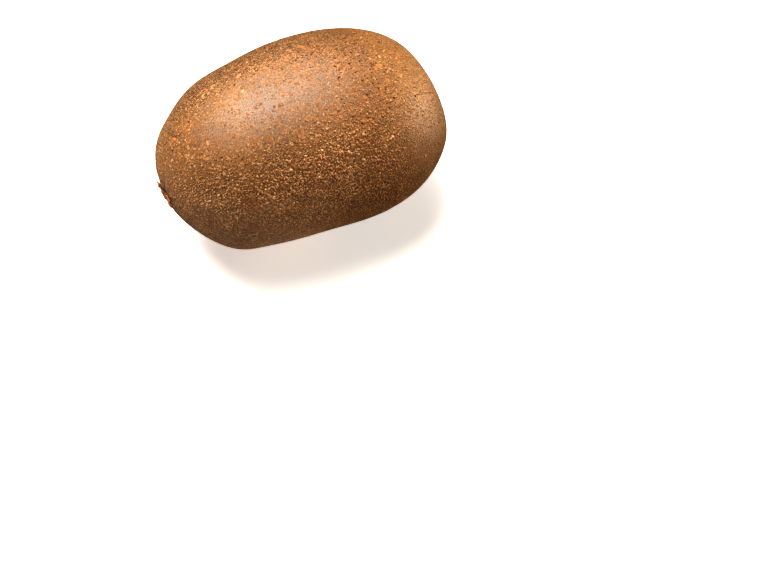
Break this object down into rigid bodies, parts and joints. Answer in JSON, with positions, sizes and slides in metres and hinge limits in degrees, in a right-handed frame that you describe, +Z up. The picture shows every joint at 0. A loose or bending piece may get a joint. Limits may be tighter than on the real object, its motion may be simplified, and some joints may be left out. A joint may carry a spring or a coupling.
{
  "type": "golden kiwi fruit",
  "caption": "Whole golden kiwi fruit lying on its side: smooth oval body in flecked golden-brown skin, a dried calyx at the stem end and a low beak at the blossom end.",
  "frame": {"origin": "on the surface the fruit lies on, under the middle of its length and width", "axes": "+X along the fruit from the stem end to the blossom end, +Y to its side, +Z up from the surface it lies on"},
  "size_m": [0.0736, 0.0494, 0.0471],
  "materials": {
    "skin": "soft satin with fine raised flecks and a trace of down",
    "dried_sepals": "dry and matt",
    "dried_styles": "dry and matt"
  },
  "bodies": {
    "root": {"fruit": "skin", "calyx": "dried_sepals", "styles": "dried_styles"}
  },
  "joints": []
}
